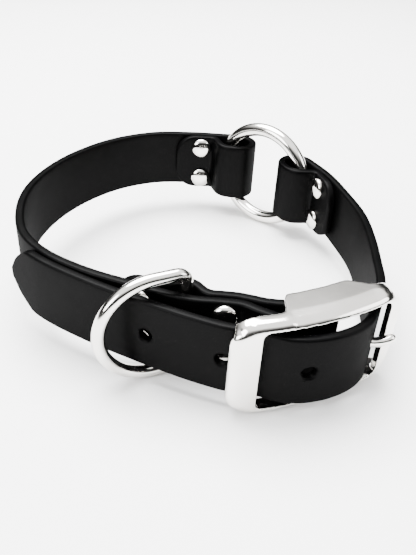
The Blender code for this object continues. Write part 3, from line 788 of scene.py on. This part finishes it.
window_corner = 2.5 * mm
cuts_along = np.arange(-28.2, 28.3, 0.8) * mm
cuts_across = np.arange(-17.4, 17.5, 0.6) * mm
frame_block = started("buckle_frame_piece", (buckle_length, buckle_height, bar_thickness))
pick_edges(frame_block, upright_edges)
bpy.ops.mesh.bevel(offset=outline_corner, segments=16)
window = started("window", (far_bar_edge - tip_bar_edge, 2 * window_half, 3 * bar_thickness),
                 ((far_bar_edge + tip_bar_edge) / 2, 0, 0))
pick_edges(window, upright_edges)
bpy.ops.mesh.bevel(offset=window_corner, segments=6)
cut_away(frame_block, window)
sliced(frame_block, 0, cuts_along)
sliced(frame_block, 1, cuts_across)
for vertex in frame_block.data.vertices:
    x, y, z = vertex.co
    depth = hood_depth(x, y)
    vertex.co.x -= tip_stretch * (1 - fade((-x - stretch_start) / stretch_run))
    if z < 0:
        vertex.co.z = frame_front(x) - depth
        continue
    round_drop = min(round_share * depth, round_deepest)
    share = min(max(1 - from_outline(x, y) / round_width, 0), 1)
    vertex.co.z = frame_front(x) - round_drop * (1 - math.sqrt(max(1 - share * share, 0)))
centre_bar_half = 16.6 * mm
nothing_selected()
bpy.ops.mesh.primitive_cylinder_add(vertices=40, radius=centre_bar_radius, depth=2 * centre_bar_half,
                                    rotation=(math.pi / 2, 0, 0),
                                    location=(centre_bar_along, 0, centre_bar_out))
centre_bar_piece = bpy.context.object


def cast_together(pieces, grain_size, rounds):
    """Fuses the pieces into one skin and rounds off its edges and inner corners."""
    alone(pieces[0])
    for other in pieces[1:]:
        other.select_set(True)
    bpy.ops.object.join()
    casting = bpy.context.object
    bpy.ops.object.modifier_add(type="REMESH")
    made = casting.modifiers[-1]
    made.mode = "VOXEL"
    made.voxel_size = grain_size
    bpy.ops.object.modifier_apply(modifier=made.name)
    bpy.ops.object.modifier_add(type="SMOOTH")
    made = casting.modifiers[-1]
    made.factor = 0.5
    made.iterations = rounds
    bpy.ops.object.modifier_apply(modifier=made.name)
    return casting


frame_grain = 0.26 * mm
buckle = cast_together([frame_block, centre_bar_piece], frame_grain, 16)
buckle.matrix_world = buckle_place
set_down(buckle, "buckle_frame", "straps_and_buckle", nickel)

# Prong
# A cast and plated prong with an eye that turns on the centre bar. It passes through the hole that is
# farthest from the tail's tip and rests on the far bar.
prong_radius = 1.65 * mm
prong_point = [0.97, 0.88, 0.68, 0.35]
prong_taper = [1.0] * (len(prong_path) - len(prong_point)) + prong_point
tip_lift = 1.9 * mm
lift_start = 0.62
lift_run = 0.36
eye_width = 5.0 * mm
eye_hole_radius = 3.1 * mm
prong_line = [(x, y, tip_lift * (1 - fade((along / prong_length[-1] - lift_start) / lift_run)))
              for (x, y), along in zip(prong_path, prong_length)]
shank = wire("buckle_prong_piece", prong_line, prong_radius, False, prong_taper)
nothing_selected()
bpy.ops.mesh.primitive_cylinder_add(vertices=48, radius=prong_loop_radius, depth=eye_width,
                                    location=(*centre_bar, 0))
eye = bpy.context.object
bpy.ops.object.transform_apply(location=True, rotation=False, scale=False)
bpy.ops.mesh.primitive_cylinder_add(vertices=40, radius=eye_hole_radius, depth=1.8 * eye_width,
                                    location=(*centre_bar, 0))
eye_hole = bpy.context.object
bpy.ops.object.transform_apply(location=True, rotation=False, scale=False)
cut_away(eye, eye_hole)
prong_grain = 0.16 * mm
prong = cast_together([shank, eye], prong_grain, 5)
set_down(prong, "buckle_prong", "straps_and_buckle", nickel)

# Ground and light
# A pale sheet of paper under soft lamps. The metal mirrors a bright ceiling and a dark band low in the
# room, and what the eye sees past the paper is plain and pale.
pale = (0.93, 0.93, 0.93, 1)
nothing_selected()
bpy.ops.mesh.primitive_plane_add(size=40)
ground = bpy.context.object
ground.name = "ground"
paper = bpy.data.materials.new("pale_paper")
paper.use_nodes = True
paper_shader = paper.node_tree.nodes["Principled BSDF"]
paper_shader.inputs["Base Color"].default_value = pale
paper_shader.inputs["Roughness"].default_value = 0.9
paper_shader.inputs["Specular IOR Level"].default_value = 0.1
ground.data.materials.append(paper)

room = bpy.data.worlds.new("room")
bpy.context.scene.world = room
room.use_nodes = True
room_nodes = room.node_tree.nodes
room_links = room.node_tree.links
backdrop = room_nodes["Background"]
backdrop.inputs["Strength"].default_value = 2.6
around = room_nodes.new("ShaderNodeTexCoord")
apart = room_nodes.new("ShaderNodeSeparateXYZ")
bands = room_nodes.new("ShaderNodeValToRGB")
room_links.new(around.outputs["Generated"], apart.inputs["Vector"])
room_links.new(apart.outputs["Z"], bands.inputs["Fac"])
room_links.new(bands.outputs["Color"], backdrop.inputs["Color"])
seen = room_nodes.new("ShaderNodeLightPath")
plain = room_nodes.new("ShaderNodeBackground")
plain.inputs["Color"].default_value = pale
plain.inputs["Strength"].default_value = 1.6
either = room_nodes.new("ShaderNodeMixShader")
room_links.new(seen.outputs["Is Camera Ray"], either.inputs["Fac"])
room_links.new(backdrop.outputs["Background"], either.inputs[1])
room_links.new(plain.outputs["Background"], either.inputs[2])
room_links.new(either.outputs["Shader"], room_nodes["World Output"].inputs["Surface"])
ramp = bands.color_ramp
ramp.elements[0].position = 0.0
ramp.elements[0].color = (0.30, 0.30, 0.30, 1)
ramp.elements[1].position = 1.0
ramp.elements[1].color = (1.0, 1.0, 1.0, 1)
for spot, shade in ((0.04, 0.02), (0.30, 0.01), (0.42, 0.06), (0.56, 0.30), (0.70, 1.0)):
    element = ramp.elements.new(spot)
    element.color = (shade, shade, shade * 0.99, 1)


lamps_aim = Vector((0, 0, 0.02))


def lamp(name, spot, size, power):
    nothing_selected()
    bpy.ops.object.light_add(type="AREA", location=spot)
    made = bpy.context.object
    made.name = name
    made.data.shape = "DISK"
    made.data.size = size
    made.data.energy = power
    made.rotation_euler = (lamps_aim - Vector(spot)).to_track_quat("-Z", "Y").to_euler()


lamp("overhead", (-0.15, 0.25, 0.9), 0.9, 60)
lamp("front_left", (-0.8, -0.7, 0.6), 0.7, 16)
lamp("right", (0.9, -0.2, 0.5), 0.5, 4)
